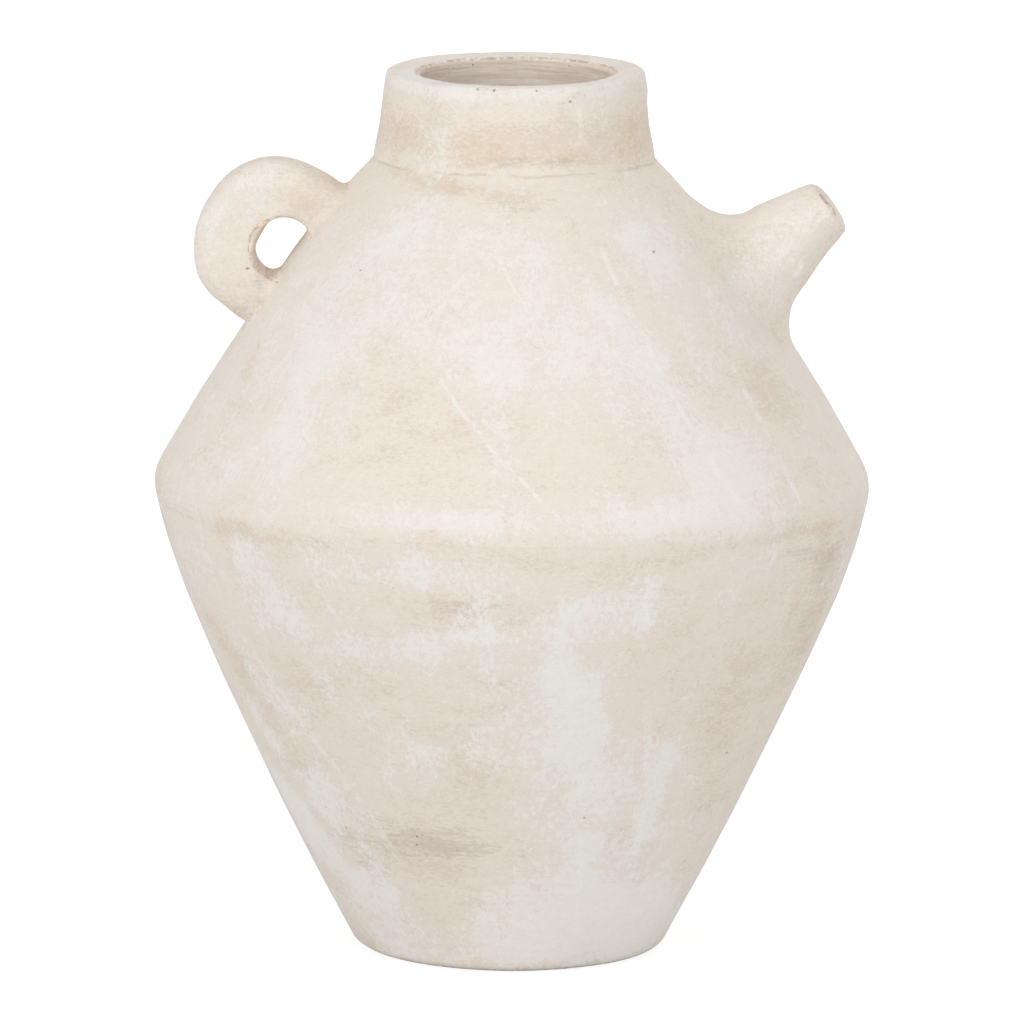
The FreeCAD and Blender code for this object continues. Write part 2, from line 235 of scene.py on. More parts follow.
# How far a wall wanders, over what length, and where in the noise
WANDER = [(0.45, 95, (0, 0, 0)), (0.2, 34, (7, 3, 1)), (0.07, 11, (2, 9, 4))]


def handmade(shape):
    """Moves a turned shell off true, as clay raised by hand is. The amount depends on the place
    alone, so pieces that meet still meet."""
    for point in shape.verts:
        place = point.co.copy()
        out = math.hypot(place.x, place.y)
        if out < 0.01:
            continue
        amount = sum(far * noise.noise(place / length + Vector(start)) for far, length, start in WANDER)
        for spot, reach, height in ACCIDENTS:
            near = (place - Vector(spot)).length_squared / reach ** 2
            if near < 6:
                amount += height * math.exp(-near)
        away = min(1.0, out / 30)
        point.co.x += place.x / out * amount * away
        point.co.y += place.y / out * amount * away
        # the widest line rises and falls, and the rim is tilted
        round_jar = Vector((place.x, place.y, 0)) / out
        point.co.z += 0.8 * noise.noise(round_jar * 1.7) * math.exp(-((place.z - 163) / 13) ** 2)
        tilt = 1.05 * round_jar.y + 0.3 * round_jar.x + 0.3 * noise.noise(round_jar * 2.3 + Vector((4, 4, 4)))
        point.co.z += tilt * math.exp(-((place.z - 305) / 9) ** 2) * min(1.0, out / 44)
    return shape


# How the wash went on, seen from the front: (degrees towards the spout, height, half length,
# half width, tilt in degrees, strength). Tilt 90 stands upright.
STROKES = {
    # where the wash is thick
    "white": [(-41, 217, 34, 28, 90, 0.75), (-34, 258, 14, 12, 90, 0.5), (-20, 240, 30, 18, 70, 0.45),
              (-42, 187, 24, 9, 95, 0.65), (-55, 174, 14, 8, 60, 0.4), (1, 207, 34, 18, 0, 0.4),
              (-2, 182, 22, 10, 110, 0.7), (-12, 168, 40, 7, 0, 0.75), (22, 168, 34, 9, 0, 0.9),
              (36, 183, 28, 13, 112, 1.0), (47, 175, 20, 16, 110, 0.85), (31, 208, 46, 9, 115, 0.6),
              (24, 139, 13, 12, 90, 0.9), (12, 136, 18, 10, 20, 0.7), (-44, 137, 24, 14, 120, 0.85),
              (-14, 150, 28, 9, 0, 0.75), (-6, 126, 15, 10, 0, 0.5), (10, 112, 22, 8, 112, 0.7),
              (13, 88, 24, 9, 95, 0.6), (21, 40, 30, 8, 90, 0.7), (35, 70, 36, 6, 84, 0.75), (8, 25, 22, 13, 0, 0.9),
              (38, 20, 24, 16, 0, 1.0), (-66, 48, 32, 13, 118, 1.0), (-52, 88, 20, 12, 110, 0.45),
              (-70, 20, 16, 12, 100, 0.8), (-62, 78, 22, 7, 118, 0.7), (62, 190, 22, 10, 105, 0.5),
              (66, 215, 20, 14, 115, 0.5), (44, 254, 18, 14, 118, 0.5), (0, 302, 64, 4, 0, 0.85),
              (180, 303, 70, 3, 0, 0.7), (0, 10, 90, 11, 0, 0.65), (44, 297, 12, 6, 30, 0.4),
              (-36, 282, 14, 6, 60, 0.4), (-2, 226, 30, 10, 20, 0.4), (-22, 122, 26, 9, 20, 0.5),
              (-20, 84, 16, 12, 40, 0.35), (-50, 58, 22, 11, 118, 0.5), (-56, 98, 24, 11, 116, 0.55),
              (-49, 19, 22, 11, 40, 0.6), (-4, 86, 28, 14, 20, 0.35)],
    # where the fired clay warms the wash
    "thin": [(-84, 162, 24, 14, 0, 0.7), (64, 124, 26, 16, 100, 1.0), (-66, 178, 18, 10, 60, 0.5),
             (0, 286, 150, 10, 0, 0.5), (-4, 281, 40, 6, 3, 0.6), (45, 284, 16, 9, 90, 0.6),
             (-25, 270, 20, 3, 0, 0.8), (0, 268, 18, 3, 0, 0.8), (62, 246, 18, 8, 120, 0.4),
             (30, 236, 34, 11, 118, 0.4), (-15, 192, 26, 13, 10, 0.4), (26, 205, 24, 15, 110, 0.4),
             (57, 205, 20, 10, 110, 0.6), (-65, 207, 18, 6, 120, 0.6), (-44, 157, 36, 3, 0, 0.7),
             (16, 153, 30, 4, 0, 0.5), (48, 157, 34, 3, 0, 0.8), (62, 144, 14, 12, 90, 0.7),
             (-8, 135, 22, 9, 0, 0.7), (-64, 108, 24, 9, 118, 0.6), (-34, 108, 26, 12, 10, 0.45),
             (-50, 68, 24, 10, 118, 0.45), (-32, 44, 34, 15, 8, 0.6), (-12, 60, 26, 34, 0, 0.15),
             (-6, 96, 26, 26, 0, 0.25), (28, 52, 10, 12, 90, 0.5), (48, 98, 22, 14, 100, 0.5),
             (54, 64, 24, 14, 110, 0.5), (60, 36, 14, 9, 90, 0.4), (-52, 5, 14, 3, 0, 0.4), (10, 3, 24, 2, 0, 0.4),
             (80, 150, 30, 8, 0, 0.7), (-78, 150, 26, 6, 0, 0.6)],
    # the grey-brown smudges
    "soil": [(66, 122, 24, 12, 100, 0.6), (4, 279, 17, 2.6, 3, 0.9), (6, 291, 16, 2, 3, 0.55),
             (26, 300, 9, 1.5, 20, 0.9), (180, 303, 34, 1.2, 0, 0.9), (-28, 303.6, 10, 1.3, 0, 0.9),
             (34, 302, 12, 1.6, 0, 0.7), (-1, 266, 12, 3.5, 0, 0.65), (24, 219, 9, 4, 100, 0.55),
             (36, 172, 7, 4, 100, 0.6), (-36, 153, 16, 5, 8, 0.6), (-8, 137, 14, 5, 0, 0.7),
             (64, 142, 12, 14, 90, 0.7), (-51, 62, 18, 5, 118, 0.7), (-42, 38, 16, 7, 118, 0.7),
             (-26, 49, 36, 9, 2, 0.85), (30, 50, 7, 9, 80, 0.7), (50, 66, 18, 8, 110, 0.6),
             (48, 100, 16, 6, 20, 0.5), (70, 138, 20, 12, 100, 0.5), (-5, 111, 14, 4, 0, 0.5),
             (31, 3, 14, 3, 0, 0.8), (15, 154, 20, 2.5, 0, 0.5), (54, 150, 20, 4, 0, 0.6), (2, 2, 30, 2, 0, 0.6)],
    # where the wash has stained or chipped down to the clay
    "ochre": [(-24, 283, 24, 7, 0, 0.5), (20, 279, 22, 4, 0, 0.35), (56, 284, 14, 9, 90, 0.6),
              (0, 284, 150, 8, 0, 0.2), (-60, 284, 12, 8, 0, 0.5), (-44, 273, 14, 3, 0, 0.9),
              (-22, 270, 16, 3, 0, 0.7), (66, 252, 16, 4, 118, 0.35), (-50, 160, 10, 1.6, 0, 1.0),
              (44, 161, 30, 1.8, 2, 0.7), (-66, 208, 16, 4, 120, 0.5), (-64, 100, 16, 6, 118, 0.4),
              (-38, 110, 16, 7, 0, 0.15), (62, 156, 14, 5, 0, 0.7), (-30, 24, 22, 8, 0, 0.15),
              (-56, 3, 12, 2.5, 0, 0.6), (-8, 303, 16, 1.6, 0, 0.25)],
}
WASH_KINDS = tuple(STROKES)               # the four channels of the wash attribute
WALL_SLANT = 1.13                         # millimetres along the slanting wall for each one of height


def places_on(mesh):
    """The places of a mesh's points, in millimetres"""
    places = np.empty(len(mesh.vertices) * 3)
    mesh.vertices.foreach_get("co", places)
    return places.reshape(-1, 3) * 1000


def wash(piece, bare):
    """Brushes the wash's four masks and the bare places onto a piece, as point attributes"""
    mesh = piece.data
    places = places_on(mesh)
    out = np.hypot(places[:, 0], places[:, 1])
    angle = np.degrees(np.arctan2(places[:, 0], -places[:, 1]))
    masks = np.zeros((len(places), 4))
    for column, kind in enumerate(WASH_KINDS):
        for degrees, height, length, width, tilt, strength in STROKES[kind]:
            # the back got the same hand, away from foot and neck a little higher or lower
            shift = 9 * math.sin(degrees + height) if 14 <= height <= 262 else 0.0
            for turn, level in ((degrees, height), (180 + 0.97 * degrees, height + shift)):
                across = np.radians((angle - turn + 180) % 360 - 180) * out
                up = (places[:, 2] - level) * WALL_SLANT
                lean = math.radians(tilt)
                along = across * math.cos(lean) + up * math.sin(lean)
                aside = -across * math.sin(lean) + up * math.cos(lean)
                touch = strength * np.exp(-((along / length) ** 2 + (aside / width) ** 2) ** 1.3)
                masks[:, column] = 1 - (1 - masks[:, column]) * (1 - touch)
    layer = mesh.attributes.new("wash", "FLOAT_COLOR", "POINT")
    layer.data.foreach_set("color", masks.astype(np.float32).ravel())
    layer = mesh.attributes.new("bare", "FLOAT", "POINT")
    layer.data.foreach_set("value", bare(places, out).astype(np.float32))


def fired(name, shape, material):
    """The finished shell as an object in metres, smooth but for its real edges"""
    bmesh.ops.scale(shape, vec=(0.001, 0.001, 0.001), verts=shape.verts[:])
    mesh = bpy.data.meshes.new(name)
    shape.to_mesh(mesh)
    shape.free()
    mesh.shade_smooth()
    mesh.set_sharp_from_angle(angle=math.radians(38))
    mesh.materials.append(material)
    piece = bpy.data.objects.new(name, mesh)
    bpy.context.scene.collection.objects.link(piece)
    return piece


def shader_group(name, takes, gives):
    """An empty shader node group with named inputs, as {name: starting value}, and outputs"""
    group = bpy.data.node_groups.new(name, "ShaderNodeTree")
    for label, value in takes.items():
        kind = "NodeSocketVector" if value is None else "NodeSocketFloat"
        socket = group.interface.new_socket(label, in_out="INPUT", socket_type=kind)
        if value is not None:
            socket.default_value = value
    for label in gives:
        group.interface.new_socket(label, in_out="OUTPUT", socket_type="NodeSocketFloat")
    return group, put(group, "NodeGroupInput").outputs, put(group, "NodeGroupOutput").inputs


def cloud(tree, place, size, detail=3.0, roughness=0.55, distortion=0.0):
    """Noise whose lumps are size millimetres across"""
    return put(tree, "ShaderNodeTexNoise", {"Vector": place, "Scale": 1000.0 / size, "Detail": detail,
                                            "Roughness": roughness, "Distortion": distortion}).outputs["Fac"]


# Dry-brush edge: turns a soft mask into grainy patches, as lime wash breaks on coarse clay
dry_brush, takes, gives = shader_group("dry_brush", {"Place": None, "Mask": 0.5, "Crisp": 0.1, "Grain": 1.0}, ["Cover"])
drawn_out = put(dry_brush, "ShaderNodeMapping", {"Vector": takes["Place"], "Scale": (1.0, 1.0, 0.66)}).outputs[0]
ragged = minus(dry_brush, cloud(dry_brush, drawn_out, 15, 8.0, 0.7, 0.5), 0.5)
gritty = minus(dry_brush, cloud(dry_brush, drawn_out, 1.5, 3.0, 0.7, 0.3), 0.5)
broken = plus(dry_brush, times(dry_brush, ragged, 1.7), times(dry_brush, gritty, takes["Grain"]))
dry_brush.links.new(ease(dry_brush, plus(dry_brush, takes["Mask"], broken), minus(dry_brush, 0.5, takes["Crisp"]),
                         plus(dry_brush, 0.5, takes["Crisp"])), gives["Cover"])

# Unrolled: the angle round the jar from the front, in radians, the distance from its axis and the height
unrolled, takes, gives = shader_group("unrolled", {"Place": None}, ["Angle", "Out", "Up"])
across, deep, up = put(unrolled, "ShaderNodeSeparateXYZ", {0: takes["Place"]}).outputs
unrolled.links.new(reckon(unrolled, "ARCTAN2", across, times(unrolled, deep, -1.0)), gives["Angle"])
unrolled.links.new(from_axis(unrolled, across, deep), gives["Out"])
unrolled.links.new(up, gives["Up"])

# Brush lines: fine level lines that a wide brush leaves on a jar turning on the wheel
brush_lines, takes, gives = shader_group("brush_lines", {"Place": None, "Line": 1.4, "Length": 22.0}, ["Lines"])
across, deep, up = put(brush_lines, "ShaderNodeSeparateXYZ", {0: takes["Place"]}).outputs
flat = put(brush_lines, "ShaderNodeCombineXYZ", {0: across, 1: deep}).outputs[0]
ring = put(brush_lines, "ShaderNodeVectorMath", {0: flat}, operation="NORMALIZE").outputs[0]
turns_of = reckon(brush_lines, "DIVIDE", 100.0, takes["Length"])
ring = put(brush_lines, "ShaderNodeVectorMath", {0: ring, "Scale": turns_of}, operation="SCALE").outputs[0]
rise = reckon(brush_lines, "DIVIDE", times(brush_lines, up, 1000.0), takes["Line"])
rise = put(brush_lines, "ShaderNodeCombineXYZ", {2: rise}).outputs[0]
lined = put(brush_lines, "ShaderNodeVectorMath", {0: ring, 1: rise}, operation="ADD").outputs[0]
brush_lines.links.new(put(brush_lines, "ShaderNodeTexNoise", {"Vector": lined, "Scale": 1.0, "Detail": 3.0,
                                                              "Roughness": 0.65}).outputs["Fac"], gives["Lines"])

# Run: a thin run or scrape of wash down the wall, from one place on it to another
run, takes, gives = shader_group("run", {
    "Angle": 0.0, "Out": 0.1, "Up": 0.1, "Wander": 0.0, "Patchy": 1.0, "From Angle": 0.0, "From Up": 0.2,
    "To Angle": 0.0, "To Up": 0.1, "Width": 1.0}, ["Trace"])
share = reckon(run, "DIVIDE", minus(run, takes["Up"], takes["From Up"]), minus(run, takes["To Up"], takes["From Up"]))
line_angle = plus(run, takes["From Angle"], times(run, share, minus(run, takes["To Angle"], takes["From Angle"])))
aside = times(run, times(run, minus(run, takes["Angle"], line_angle), takes["Out"]), 1000.0)
aside = reckon(run, "ABSOLUTE", plus(run, takes["Wander"], aside))
core = times(run, takes["Width"], 0.35)
body = times(run, ease(run, aside, core, takes["Width"], 1.0, 0.0), takes["Patchy"])
between_ends = times(run, ease(run, share, 0.0, 0.08), ease(run, share, 0.93, 1.0, 1.0, 0.0))
run.links.new(times(run, body, between_ends), gives["Trace"])

# Pits: pinholes and burnt-out specks, scattered here and there
pits, takes, gives = shader_group("pits", {"Place": None, "Spacing": 12.0, "Size": 0.35}, ["Pit"])
cells = put(pits, "ShaderNodeTexVoronoi", {"Vector": takes["Place"], "Randomness": 1.0,
                                           "Scale": reckon(pits, "DIVIDE", 1000.0, takes["Spacing"])}).outputs
chance = put(pits, "ShaderNodeSeparateColor", {0: cells["Color"]}).outputs
reach = times(pits, takes["Size"], plus(pits, chance[1], 0.4))
reach = reckon(pits, "DIVIDE", reach, takes["Spacing"])
hole = ease(pits, cells["Distance"], times(pits, reach, 0.5), reach, 1.0, 0.0)
pits.links.new(times(pits, hole, ease(pits, chance[0], 0.55, 0.6)), gives["Pit"])

# Joint line: the hairline that stays where two pieces were luted, a little above or below its height, darkened as dirt
# in the joint and as painted shade in its crease
joint_line, takes, gives = shader_group("joint_line", {"Up": 0.1, "Height": 0.1, "Wander": 0.0, "Width": 0.4},
                                        ["Line"])
off_line = times(joint_line, minus(joint_line, takes["Up"], takes["Height"]), 1000.0)
off_line = reckon(joint_line, "ABSOLUTE", plus(joint_line, off_line, takes["Wander"]))
core = times(joint_line, takes["Width"], 0.3)
joint_line.links.new(ease(joint_line, off_line, core, takes["Width"], 1.0, 0.0), gives["Line"])


def use(tree, group, **inputs):
    """A group placed in a material, with its inputs by name (an underscore stands for a space)"""
    return put(tree, "ShaderNodeGroup", {key.replace("_", " "): value for key, value in inputs.items()},
               node_tree=group).outputs


def coat(tree, place, mask, crisp, grain, shift, flatten):
    """A broken coat, from another part of the noise drawn into level strokes, so that no two coats match"""
    moved = put(tree, "ShaderNodeMapping", {"Vector": place, "Location": shift, "Scale": (0.8, 0.8, flatten)})
    return use(tree, dry_brush, Place=moved.outputs[0], Mask=mask, Crisp=crisp, Grain=grain)["Cover"]


def ceramic(name):
    """A new material with its node tree and the place on the piece"""
    material = bpy.data.materials.new(name)
    material.use_nodes = True
    return material, material.node_tree, put(material.node_tree, "ShaderNodeTexCoord").outputs["Object"]


def matt_surface(tree, colour, height, roughness):
    """Gives a material its colour, its relief in millimetres and its roughness"""
    shader = tree.nodes["Principled BSDF"]
    relief = put(tree, "ShaderNodeBump", {"Strength": 1.0, "Distance": 0.001, "Height": height})
    tree.links.new(colour, shader.inputs["Base Color"])
    tree.links.new(relief.outputs[0], shader.inputs["Normal"])
    tree.links.new(roughness, shader.inputs["Roughness"])
    shader.inputs["Specular IOR Level"].default_value = 0.25


# Runs and scrapes of thick wash: from (degrees, height) to (degrees, height), width
RUNS = [(-60, 129, -29, 38, 2.3), (-36, 153, -28, 122, 1.2), (25, 254, 35, 192, 1.5), (35, 193, 39, 170, 2.4),
        (-16, 214, 9, 167, 1.3), (-12, 247, -20, 228, 1.0), (-6, 254, 4, 232, 1.0), (8, 123, 12, 103, 1.8),
        (26, 105, 36, 40, 2.0), (14, 86, 21, 26, 2.0), (51, 215, 53, 166, 1.8),
        (24, 150, 23, 128, 3.0), (28, 298, 30, 284, 1.5),
        (120, 240, 135, 170, 1.6), (150, 150, 138, 60, 1.8), (-150, 150, -158, 66, 1.7), (-120, 235, -134, 175, 1.4),
        (175, 140, 178, 88, 1.4), (100, 120, 108, 50, 1.5), (-100, 110, -96, 52, 1.4)]


# The wash's colours, from the first coat up
CREAM, TAN, OCHRE, GREY_BROWN = tone(232, 223, 212), tone(220, 206, 190), tone(214, 188, 152), tone(192, 178, 165)
MILKY, WHITE, THICK_WHITE = tone(236, 231, 225), tone(237, 234, 229), tone(241, 238, 233)
# The colour of the joint lines: dirt in the joint, and painted shade in the crease under the collar and just under the
# widest line
JOINT_DIRT_AND_SHADE = tone(196, 172, 144)
# The unwashed clay's, with its scraper lines and stains, painted much paler than the clay so that they paint in light
# inside the neck and the finger hole; and where the wash was rubbed off
RAW_WITH_PAINTED_LIGHT, RAW_LINES_WITH_PAINTED_LIGHT, RAW_STAINS_WITH_PAINTED_LIGHT, RUBBED = tone(228, 211, 197), tone(250, 242, 233), tone(216, 196, 174), tone(178, 152, 124)
PINHOLE = tone(112, 94, 78)


def limewash_material():
    """Lime wash brushed over fired clay: cream, white where thick and whiter below the belly as painted light, tan
    where thin, soiled and with painted shade along the joint lines, and pale bare clay inside that paints in light
    """
    material, tree, place = ceramic("limewash_on_clay")
    flat_jar = use(tree, unrolled, Place=place)
    brushed = put(tree, "ShaderNodeAttribute", attribute_name="wash").outputs
    coated, worn, soiled = put(tree, "ShaderNodeSeparateColor", {0: brushed["Color"]}).outputs
    bare = put(tree, "ShaderNodeAttribute", attribute_name="bare").outputs["Fac"]
    lines = use(tree, brush_lines, Place=place, Line=1.3, Length=26.0)["Lines"]
    wide_lines = use(tree, brush_lines, Place=place, Line=3.6, Length=60.0)["Lines"]

    # Masks
    drift = cloud(tree, place, 70, 3.0, 0.5)
    white_mask = plus(tree, times(tree, coated, 0.55), ease(tree, drift, 0.3, 0.7, 0.05, 0.45))
    white_mask = minus(tree, white_mask, times(tree, worn, 0.14))
    white_mask = plus(tree, white_mask, times(tree, minus(tree, lines, 0.5), 0.25))
    white = use(tree, dry_brush, Place=place, Mask=white_mask, Crisp=0.14, Grain=1.5)["Cover"]
    veil = ease(tree, white_mask, 0.1, 0.95)
    thin_mask = plus(tree, times(tree, worn, 0.52), ease(tree, drift, 0.3, 0.7, 0.34, 0.04))
    thin = coat(tree, place, thin_mask, crisp=0.26, grain=1.7, shift=(0.31, 0.17, 0.42), flatten=2.2)
    soil_mask = plus(tree, times(tree, soiled, 0.7), ease(tree, lines, 0.42, 0.62, -0.24, 0.16))
    soil = coat(tree, place, soil_mask, crisp=0.3, grain=1.6, shift=(0.77, 0.05, 0.13), flatten=2.6)
    ochre_mask = times(tree, brushed["Alpha"], 0.8)
    ochre = coat(tree, place, ochre_mask, crisp=0.32, grain=1.5, shift=(0.12, 0.63, 0.88), flatten=2.4)
    chips = times(tree, use(tree, pits, Place=place, Spacing=2.4, Size=0.5)["Pit"], ease(tree, soiled, 0.5, 0.9))
    pinholes = reckon(tree, "MAXIMUM", chips, use(tree, pits, Place=place, Spacing=13.0, Size=0.45)["Pit"])
    wander = times(tree, minus(tree, cloud(tree, place, 16, 6.0, 0.68), 0.5), 5.5)
    # The joint lines: dirt in the joint, and painted shade that darkens the crease under the collar and the band just
    # under the widest line
    neck_joint = use(tree, joint_line, Up=flat_jar["Up"], Height=0.2744, Wander=times(tree, wander, 0.5),
                     Width=0.55)["Line"]
    belly_joint = use(tree, joint_line, Up=flat_jar["Up"], Height=0.1575, Wander=wander, Width=0.45)["Line"]
    close_in = ease(tree, flat_jar["Out"], 0.050, 0.052, 1.0, 0.0)
    joint_dirt_and_shade = plus(tree, times(tree, neck_joint, close_in), times(tree, belly_joint, ease(tree, drift, 0.5, 0.62)))
    joint_dirt_and_shade = times(tree, joint_dirt_and_shade, ease(tree, cloud(tree, place, 9, 3.0, 0.6), 0.36, 0.56))
    patchy = ease(tree, cloud(tree, place, 4, 5.0, 0.75), 0.4, 0.6)
    traces = 0.0
    for from_angle, from_up, to_angle, to_up, width in RUNS:
        trace = use(tree, run, Wander=wander, Patchy=patchy, Angle=flat_jar["Angle"], Out=flat_jar["Out"],
                    Up=flat_jar["Up"], From_Angle=math.radians(from_angle), From_Up=from_up / 1000,
                    To_Angle=math.radians(to_angle), To_Up=to_up / 1000, Width=width)["Trace"]
        traces = reckon(tree, "MAXIMUM", traces, trace)
    traces = times(tree, traces, minus(tree, 1.0, bare))

    # Colour
    painted_light_below_belly = ease(tree, flat_jar["Up"], 0.150, 0.166, 0.84, 0.6)          # the white is stronger below the belly: painted light that brightens the lower cone
    colour = CREAM
    for above, mask, strength in ((TAN, thin, 0.75), (OCHRE, ochre, 0.45), (GREY_BROWN, soil, 0.45), (MILKY, veil, 0.3),
                                  (WHITE, white, painted_light_below_belly), (THICK_WHITE, traces, 0.6), (JOINT_DIRT_AND_SHADE, joint_dirt_and_shade, 0.3)):
        colour = paint_over(tree, colour, above, times(tree, mask, strength))
    # The bare places take the pale unwashed clay: painted light inside the neck and the finger hole, over the clay's
    # own lines and stains
    raw_painted_light_cover = use(tree, dry_brush, Place=place, Mask=bare, Crisp=0.2, Grain=0.9)["Cover"]
    fine_lines = use(tree, brush_lines, Place=place, Line=0.7, Length=70.0)["Lines"]
    raw_with_painted_light = paint_over(tree, RAW_WITH_PAINTED_LIGHT, RAW_LINES_WITH_PAINTED_LIGHT, ease(tree, fine_lines, 0.3, 0.7))
    raw_with_painted_light = paint_over(tree, raw_with_painted_light, RAW_STAINS_WITH_PAINTED_LIGHT, times(tree, ease(tree, wide_lines, 0.48, 0.68), 0.4))
    colour = paint_over(tree, colour, raw_with_painted_light, raw_painted_light_cover)
    rubbed = times(tree, ease(tree, bare, 0.05, 0.35), ease(tree, bare, 0.7, 1.0, 1.0, 0.0))
    rubbed = times(tree, rubbed, ease(tree, cloud(tree, place, 2.0, 4.0, 0.75), 0.44, 0.56))
    colour = paint_over(tree, colour, RUBBED, times(tree, rubbed, 0.7))
    mottle = plus(tree, times(tree, cloud(tree, place, 3, 6.0, 0.85), 0.16), times(tree, lines, 0.05),
                  times(tree, cloud(tree, place, 0.55, 2.0, 0.8), 0.22), 0.785)
    colour = put(tree, "ShaderNodeVectorMath", {0: colour, "Scale": mottle}, operation="SCALE").outputs[0]
    colour = paint_over(tree, colour, PINHOLE, times(tree, pinholes, 0.6))

    # Relief, in millimetres
    grain = times(tree, cloud(tree, place, 0.9, 3.0, 0.7), 0.12)
    thick = times(tree, plus(tree, white, traces), 0.05)
    strokes = times(tree, plus(tree, lines, wide_lines), 0.05)
    lumps = times(tree, cloud(tree, place, 7, 4.0, 0.6), 0.16)
    height = plus(tree, plus(tree, grain, thick), plus(tree, strokes, lumps))
    height = minus(tree, height, times(tree, pinholes, 0.3))
    height = minus(tree, height, times(tree, joint_dirt_and_shade, 0.1))
    matt_surface(tree, colour, height, ease(tree, white, 0.0, 1.0, 0.86, 0.95))
    return material


limewash = limewash_material()

slab_shape = handmade(turned(section_of(SLAB_OUTLINE, 2.2, roundings=[(1, 3.1, 7)])))
slab = fired("slab", slab_shape, limewash)


def slab_bare(places, out):
    """1 on the slab's top inside the jar and nearly 1 under its foot, where no brush went"""
    inside = (places[:, 2] > FLOOR_THICKNESS - 0.5) & (out < 49)
    return np.where(inside, 1.0, np.clip((0.9 - places[:, 2]) / 0.8, 0, 1) * 0.85)


wash(slab, slab_bare)
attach(slab, "root")
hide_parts("floor_slab")

# ---------------------------------------------------------------------------------------------
# Lower wall
# The lower cone, raised on the slab from thick coils that are pinched and scraped together, up
# to the widest line. Its top edge slants inwards, so that the shoulder sits in it.

LOWER_OUTSIDE = [(59.7, 12), (63.9, 20), (70.0, 32), (79.0, 50), (90.8, 75), (102.2, 100), (113.1, 125),
                 (119.0, 142), (121.7, 152), (123.0, 157.5), (123.5, 160.1)]
LOWER_INSIDE = [(111.8, 158.6), (110.3, 151.7), (108.5, 144.8), (105.6, 135.2), (101.9, 124.6), (97.0, 113),
                (91.2, 100.1), (79.6, 75), (70.3, 55.7), (58.5, 32), (52.3, 20), (48.2, 12)]
# The inner faces of the shoulder and the collar, which carry the line on to the rim
SHOULDER_INSIDE = [(36, 274.5), (36.2, 271.5), (38.3, 268), (43.7, 262), (49.9, 255), (59.9, 243), (70.1, 230),
                   (81.1, 215), (90, 202), (97.8, 190), (103.9, 180), (108.9, 171.3), (112.9, 164.3), (112.4, 161)]
COLLAR_INSIDE = [(32.9, 304.2), (34.0, 297), (35.0, 287), (36, 274.5)]


def wall_inside(places, out):
    """1 on the inner face of the walls, 0 on the outer one"""
    line = sorted((up, reach) for reach, up in LOWER_INSIDE + SHOULDER_INSIDE + COLLAR_INSIDE)
    inner = np.interp(places[:, 2], [up for up, reach in line], [reach for up, reach in line])
    return np.clip(1 - (out - inner - 0.4) / 1.8, 0, 1)


lower_shape = handmade(turned(section_of(LOWER_OUTSIDE + LOWER_INSIDE, 2.0, eased=(14, 156))))
lower = fired("lower_cone", lower_shape, limewash)
wash(lower, wall_inside)
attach(lower, "root")
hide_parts("lower_wall")

# ---------------------------------------------------------------------------------------------
# Floor seam coil
# A thin coil of soft clay pressed into the inside corner over the slab's joint. The fingertips
# that pressed it leave a row of shallow dents. It is bare fired clay.


CLAY, DARK_CLAY, CLAY_DUST, CLAY_LINES = tone(166, 140, 116), tone(148, 118, 92), tone(198, 183, 164), tone(122, 98, 78)
CLAY_HOLE = tone(84, 66, 52)


def clay_material():
    """Bare fired clay, with pale grit and the lines of a scraper"""
    material, tree, place = ceramic("bare_fired_clay")
    lines = use(tree, brush_lines, Place=place, Line=2.2, Length=40.0)["Lines"]
    dust = use(tree, dry_brush, Place=place, Mask=0.36, Crisp=0.2, Grain=1.0)["Cover"]
    firing = ease(tree, cloud(tree, place, 22, 5.0, 0.6), 0.4, 0.65)
    holes = use(tree, pits, Place=place, Spacing=6.0, Size=0.5)["Pit"]
    colour = paint_over(tree, CLAY, DARK_CLAY, firing)
    colour = paint_over(tree, colour, CLAY_DUST, times(tree, dust, 0.6))
    colour = paint_over(tree, colour, CLAY_LINES, times(tree, ease(tree, lines, 0.55, 0.72), 0.4))
    colour = paint_over(tree, colour, CLAY_HOLE, times(tree, holes, 0.8))
    height = plus(tree, times(tree, lines, 0.14), times(tree, cloud(tree, place, 1.6, 5.0, 0.7), 0.16))
    height = minus(tree, height, times(tree, holes, 0.35))
    matt_surface(tree, colour, height, ease(tree, dust, 0.0, 1.0, 0.84, 0.94))
    return material


bare_clay = clay_material()


def pressed(shape, dents, depth, hidden):
    """Presses fingertip dents into the open side of a coil; hidden(out, up) is where it touches the wall"""
    for point in shape.verts:
        out = math.hypot(point.co.x, point.co.y)
        if hidden(out, point.co.z):
            continue
        angle = math.atan2(point.co.y, point.co.x) * dents / math.tau
        angle += 0.25 * noise.noise(Vector((angle * 0.7, 0, 1)))
        dip = depth * (0.5 + 0.5 * math.cos(angle * math.tau)) ** 2 * (0.7 + 0.5 * noise.noise(Vector((angle, 2, 2))))
        point.co -= point.normal * dip


FLOOR_COIL = [(42.0, 12), (42.3, 13), (43.2, 14.6), (44.5, 16), (46.0, 17.2), (47.7, 18), (49.6, 18.4), (51.5, 18.5),
              (48.2, 12)]
floor_coil_shape = turned(section_of(FLOOR_COIL, 1.0), 300)
pressed(floor_coil_shape, dents=17, depth=0.9,
        hidden=lambda out, up: up < 12.1 or out > 50.6 or out > 48.2 + (up - 12) * 0.5 - 0.4)
floor_coil = fired("floor_coil", floor_coil_shape, bare_clay)
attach(floor_coil, "root")
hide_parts("floor_seam_coil")

# ---------------------------------------------------------------------------------------------
# Shoulder wall
# The domed upper cone, raised upside down on its own and set on the lower one. Its edge rounds
# over the joint at the widest line, and a hole is pierced where the spout will stand.

